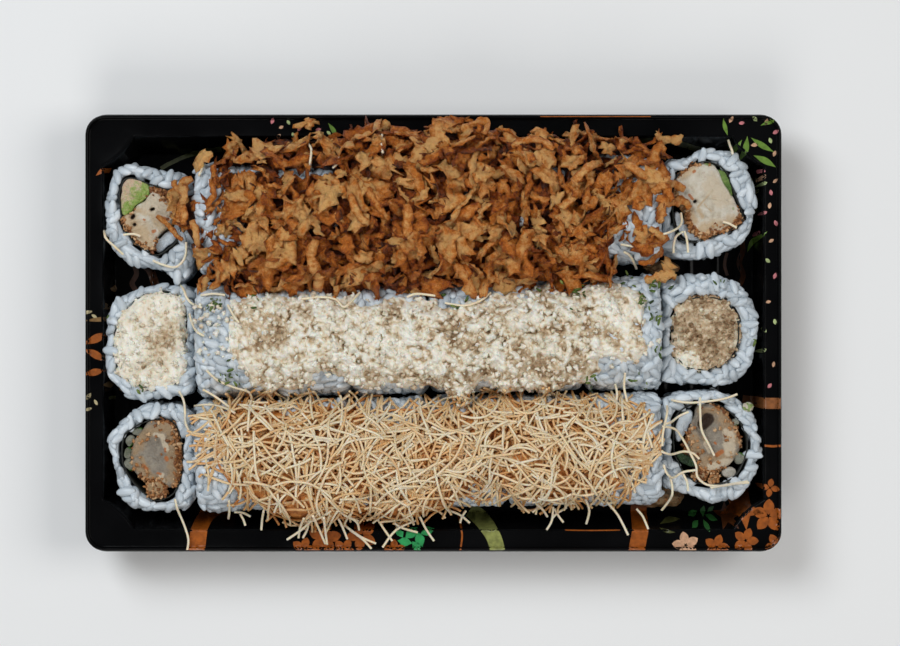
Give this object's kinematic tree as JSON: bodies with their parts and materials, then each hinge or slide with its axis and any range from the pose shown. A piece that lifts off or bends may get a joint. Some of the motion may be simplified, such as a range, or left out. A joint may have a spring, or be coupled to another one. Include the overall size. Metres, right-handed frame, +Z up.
{
  "type": "takeaway sushi tray",
  "caption": "Black printed tray packed with rows of inside-out sushi rolls under fried onion, tempura crumbs and crisp noodle threads.",
  "frame": {"origin": "middle of the tray's underside", "axes": "+X along the rows of rolls, +Y towards the row under fried onion, +Z up"},
  "size_m": [0.215, 0.135, 0.0421],
  "materials": {
    "tray": "gloss",
    "rice": "satin",
    "nori": "satin",
    "cutlet": "matte",
    "prawn": "satin",
    "greens": "satin",
    "fried_onion": "matte",
    "tempura_crumbs": "matte",
    "noodle_threads": "satin"
  },
  "bodies": {
    "root": {"core_crumb_left": "cutlet", "core_crumb_right": "cutlet", "crumb_mound_left": "tempura_crumbs", "crumb_mound_right": "tempura_crumbs", "crust_bit_noodle_left": "cutlet", "crust_bit_noodle_right_1": "cutlet", "crust_bit_noodle_right_2": "cutlet", "crust_bit_noodle_right_3": "cutlet", "cucumber_noodle_left_1": "greens", "cucumber_noodle_left_2": "greens", "cucumber_noodle_left_3": "greens", "cucumber_noodle_left_4": "greens", "cucumber_noodle_right_1": "greens", "cucumber_noodle_right_2": "greens", "cutlet_onion_left": "cutlet", "cutlet_onion_right": "cutlet", "fried_onion": "fried_onion", "greens_onion_right": "greens", "inner_rice_noodle_right": "rice", "inner_rice_onion_left": "rice", "inner_rice_onion_right": "rice", "leaf_noodle_right": "greens", "lettuce_onion_left": "greens", "loose_chunk_front": "cutlet", "loose_chunk_middle": "cutlet", "noodle_threads": "noodle_threads", "nori_crumb_left": "nori", "nori_crumb_right": "nori", "nori_noodle_left": "nori", "nori_noodle_right": "nori", "nori_onion_left": "nori", "nori_onion_right": "nori", "prawn_noodle_left": "prawn", "prawn_noodle_right": "prawn", "rice_crumb_left": "rice", "rice_crumb_right": "rice", "rice_noodle_left": "rice", "rice_noodle_right": "rice", "rice_onion_left": "rice", "rice_onion_right": "rice", "slice_crumb_1": "rice", "slice_crumb_2": "rice", "slice_crumb_3": "rice", "slice_crumb_4": "rice", "slice_crumb_5": "rice", "slice_crumb_6": "rice", "slice_noodle_1": "rice", "slice_noodle_2": "rice", "slice_noodle_3": "rice", "slice_noodle_4": "rice", "slice_noodle_5": "rice", "slice_noodle_6": "rice", "slice_onion_1": "rice", "slice_onion_2": "rice", "slice_onion_3": "rice", "slice_onion_4": "rice", "slice_onion_5": "rice", "slice_onion_6": "rice", "tempura_crumbs": "tempura_crumbs", "tray": "tray"}
  },
  "joints": []
}
